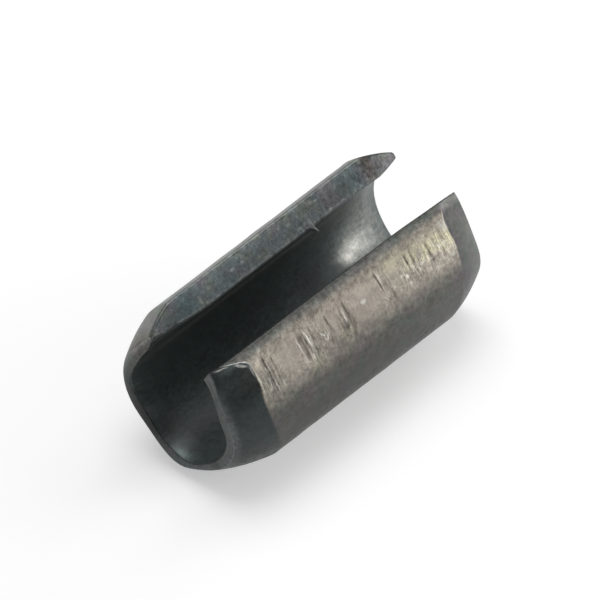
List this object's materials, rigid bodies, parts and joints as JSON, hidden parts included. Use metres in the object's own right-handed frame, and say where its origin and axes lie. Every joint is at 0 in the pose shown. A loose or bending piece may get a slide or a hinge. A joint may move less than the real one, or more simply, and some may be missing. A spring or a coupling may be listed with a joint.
{
  "type": "slotted spring pin",
  "caption": "Slotted spring pin: spring steel strip rolled into an open tube with a lead-in swaged on each end; springs shut as it is driven into a hole.",
  "frame": {"origin": "on the axis of the pin at mid-length", "axes": "+X along the axis, +Z out through the middle of the slot, +Y completes the right-handed frame; the pin lies on its back along the -Z side"},
  "size_m": [0.0164, 0.0084, 0.0077],
  "materials": {
    "spring_steel": "satin"
  },
  "bodies": {
    "root": {"spring_pin": "spring_steel"}
  },
  "joints": []
}
